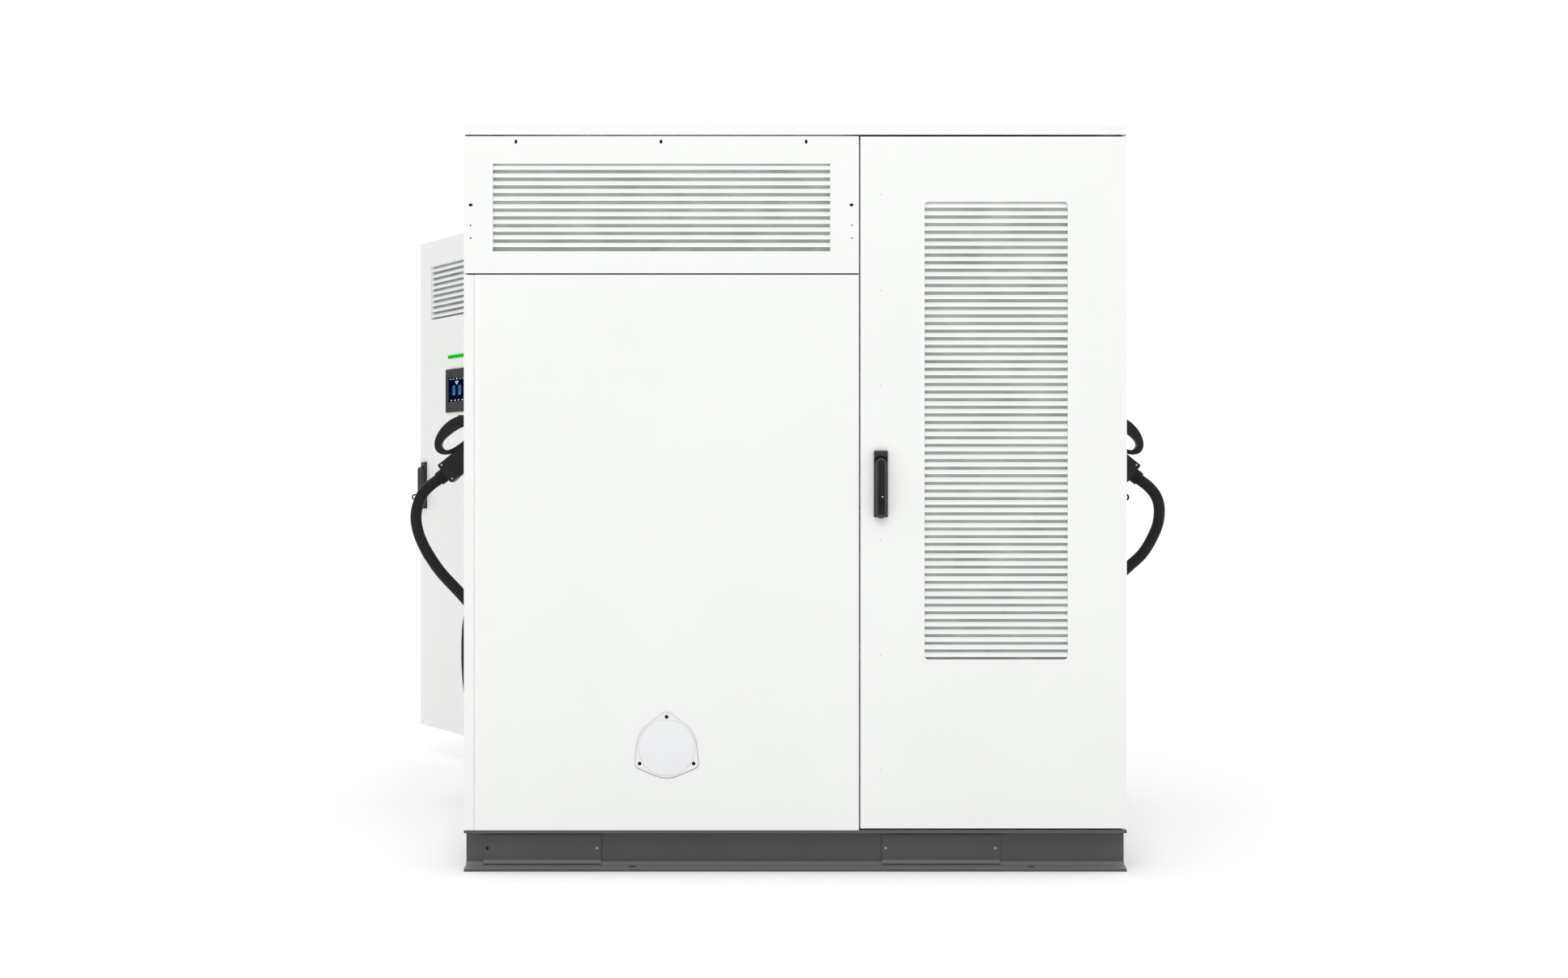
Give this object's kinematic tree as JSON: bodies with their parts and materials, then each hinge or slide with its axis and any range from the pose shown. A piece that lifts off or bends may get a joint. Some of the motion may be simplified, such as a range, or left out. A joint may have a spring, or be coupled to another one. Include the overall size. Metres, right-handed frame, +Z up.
{
  "type": "battery-buffered electric vehicle charging cabinet",
  "caption": "Free-standing white charging cabinet on a dark channel base, with louvred hinged doors, swing handles, a display door and side-holstered connectors on cables.",
  "frame": {"origin": "on the ground, under the centre of the cabinet's footprint", "axes": "+Z up, +Y out of the front (display) face, -Y out of the rear (service) face, +X to the right seen from the rear"},
  "size_m": [2.9591, 2.846, 2.2075],
  "materials": {
    "white_steel": "fine textured white powder coat",
    "dark_steel": "satin dark grey paint",
    "zinc": "zinc coated sheet",
    "bare_steel": "drawn steel rod",
    "black_plastic": "lightly textured black",
    "black_rubber": "smooth cable sheath",
    "screen": "lit display behind a clear cover",
    "green_light": "lit light strip",
    "red_plastic": "smooth red",
    "module_grey": "grey coated sheet",
    "battery_blue": "dark blue-grey coat"
  },
  "bodies": {
    "cabinet": {"base_frame": "dark_steel", "rear_left_fork_cover": "dark_steel", "rear_right_fork_cover": "dark_steel", "cabinet_frame": "zinc", "roof_cap": "white_steel", "left_side_panel": "white_steel", "right_side_panel_front": "white_steel", "right_side_panel_rear": "white_steel", "rear_lower_panel": "white_steel", "rear_vent_panel": "white_steel", "rear_vent_louvre": "white_steel", "round_cover_plate": "white_steel", "right_front_panel": "white_steel", "bay_partition": "zinc", "battery_rack": "zinc", "battery_pack_1": "battery_blue", "battery_pack_2": "battery_blue", "battery_pack_3": "battery_blue", "battery_pack_4": "battery_blue", "high_voltage_box": "module_grey", "power_module_rack": "zinc", "power_module_1": "module_grey", "power_module_2": "module_grey", "fan_plate": "zinc", "left_holster": "black_plastic", "right_holster": "black_plastic", "left_cable": "black_rubber", "right_cable": "black_rubber", "rear_door_hinge_rod": "bare_steel", "front_door_hinge_rod": "bare_steel", "side_door_hinge_rod": "bare_steel"},
    "rear_door": {"rear_door": "white_steel", "rear_door_louvre": "white_steel", "rear_handle_pan": "black_plastic"},
    "rear_handle_spindle": {"rear_handle_spindle": "zinc"},
    "rear_handle_lever": {"rear_handle_lever": "black_plastic"},
    "rear_upper_lock_rod": {"rear_upper_lock_rod": "zinc"},
    "rear_lower_lock_rod": {"rear_lower_lock_rod": "zinc"},
    "front_door": {"front_door": "white_steel", "front_door_louvre": "white_steel", "front_handle_pan": "black_plastic", "display_housing": "black_plastic", "display_screen": "screen", "light_bar": "green_light"},
    "front_handle_spindle": {"front_handle_spindle": "zinc"},
    "front_handle_lever": {"front_handle_lever": "black_plastic"},
    "front_upper_lock_rod": {"front_upper_lock_rod": "zinc"},
    "front_lower_lock_rod": {"front_lower_lock_rod": "zinc"},
    "side_door": {"side_door": "white_steel", "side_handle_pan": "black_plastic"},
    "side_handle_spindle": {"side_handle_spindle": "zinc"},
    "side_handle_lever": {"side_handle_lever": "black_plastic"},
    "left_connector": {"left_connector": "black_plastic"},
    "left_connector_button": {"left_connector_button": "black_plastic"},
    "right_connector": {"right_connector": "black_plastic"},
    "right_connector_button": {"right_connector_button": "black_plastic"},
    "left_fan": {"left_fan": "black_plastic"},
    "right_fan": {"right_fan": "black_plastic"},
    "isolator_handle": {"isolator_handle": "red_plastic"},
    "emergency_stop_button": {"emergency_stop_button": "red_plastic"}
  },
  "joints": [
    {"name": "rear_door_hinge", "type": "hinge", "parent": "cabinet", "child": "rear_door", "pos_m": [0.97, -0.875, 0], "axis": [0, 0, 1], "range_deg": [0, 120]},
    {"name": "rear_handle_turn", "type": "hinge", "parent": "rear_door", "child": "rear_handle_spindle", "pos_m": [0.2525, -0.885, 1.206], "axis": [0, -1, 0], "range_deg": [0, 90]},
    {"name": "rear_lever_tilt", "type": "hinge", "parent": "rear_handle_spindle", "child": "rear_handle_lever", "pos_m": [0.2525, -0.901, 1.206], "axis": [-1, 0, 0], "range_deg": [0, 30]},
    {"name": "rear_upper_lock_rod_slide", "type": "slide", "parent": "rear_door", "child": "rear_upper_lock_rod", "axis": [0, 0, -1], "range_m": [0, 0.018]},
    {"name": "rear_lower_lock_rod_slide", "type": "slide", "parent": "rear_door", "child": "rear_lower_lock_rod", "axis": [0, 0, 1], "range_m": [0, 0.018]},
    {"name": "front_door_hinge", "type": "hinge", "parent": "cabinet", "child": "front_door", "pos_m": [-0.97, 0.875, 0], "axis": [0, 0, 1], "range_deg": [-119.75, 10]},
    {"name": "front_handle_turn", "type": "hinge", "parent": "front_door", "child": "front_handle_spindle", "pos_m": [-1.52824, 1.83157, 1.206], "axis": [-0.8682, -0.4962, 0], "range_deg": [0, 90]},
    {"name": "front_lever_tilt", "type": "hinge", "parent": "front_handle_spindle", "child": "front_handle_lever", "pos_m": [-1.54213, 1.82363, 1.206], "axis": [-0.4962, 0.8682, 0], "range_deg": [0, 30]},
    {"name": "front_upper_lock_rod_slide", "type": "slide", "parent": "front_door", "child": "front_upper_lock_rod", "axis": [0, 0, -1], "range_m": [0, 0.018]},
    {"name": "front_lower_lock_rod_slide", "type": "slide", "parent": "front_door", "child": "front_lower_lock_rod", "axis": [0, 0, 1], "range_m": [0, 0.018]},
    {"name": "side_door_hinge", "type": "hinge", "parent": "cabinet", "child": "side_door", "pos_m": [0.97, 0.24, 0], "axis": [0, 0, 1], "range_deg": [0, 95]},
    {"name": "side_handle_turn", "type": "hinge", "parent": "side_door", "child": "side_handle_spindle", "pos_m": [0.98, -0.5775, 1.2155], "axis": [1, 0, 0], "range_deg": [0, 90]},
    {"name": "side_lever_tilt", "type": "hinge", "parent": "side_handle_spindle", "child": "side_handle_lever", "pos_m": [0.996, -0.5775, 1.2155], "axis": [0, -1, 0], "range_deg": [0, 30]},
    {"name": "left_connector_slide", "type": "slide", "parent": "cabinet", "child": "left_connector", "axis": [-0.788, 0, -0.6157], "range_m": [0, 0.12], "deforming": ["left_cable"]},
    {"name": "left_connector_button_press", "type": "slide", "parent": "left_connector", "child": "left_connector_button", "axis": [0, 0, -1], "range_m": [0, 0.003], "stiffness_N_per_m": 400},
    {"name": "right_connector_slide", "type": "slide", "parent": "cabinet", "child": "right_connector", "axis": [0.788, 0, -0.6157], "range_m": [0, 0.12], "deforming": ["right_cable"]},
    {"name": "right_connector_button_press", "type": "slide", "parent": "right_connector", "child": "right_connector_button", "axis": [0, 0, -1], "range_m": [0, 0.003], "stiffness_N_per_m": 400},
    {"name": "left_fan_spin", "type": "hinge", "parent": "cabinet", "child": "left_fan", "pos_m": [-0.62, -0.77, 1.964], "axis": [0, 1, 0], "continuous": true},
    {"name": "right_fan_spin", "type": "hinge", "parent": "cabinet", "child": "right_fan", "pos_m": [-0.17, -0.77, 1.964], "axis": [0, 1, 0], "continuous": true},
    {"name": "isolator_turn", "type": "hinge", "parent": "cabinet", "child": "isolator_handle", "pos_m": [-0.4, 0.74, 1.615], "axis": [0, 1, 0], "range_deg": [0, 90]},
    {"name": "emergency_stop_press", "type": "slide", "parent": "cabinet", "child": "emergency_stop_button", "axis": [0, -1, 0], "range_m": [0, 0.006]}
  ],
  "couplings": [
    {"joint": "rear_upper_lock_rod_slide", "follows": "rear_handle_turn", "m_per_rad": 0.011459},
    {"joint": "rear_lower_lock_rod_slide", "follows": "rear_handle_turn", "m_per_rad": 0.011459},
    {"joint": "front_upper_lock_rod_slide", "follows": "front_handle_turn", "m_per_rad": 0.011459},
    {"joint": "front_lower_lock_rod_slide", "follows": "front_handle_turn", "m_per_rad": 0.011459}
  ]
}
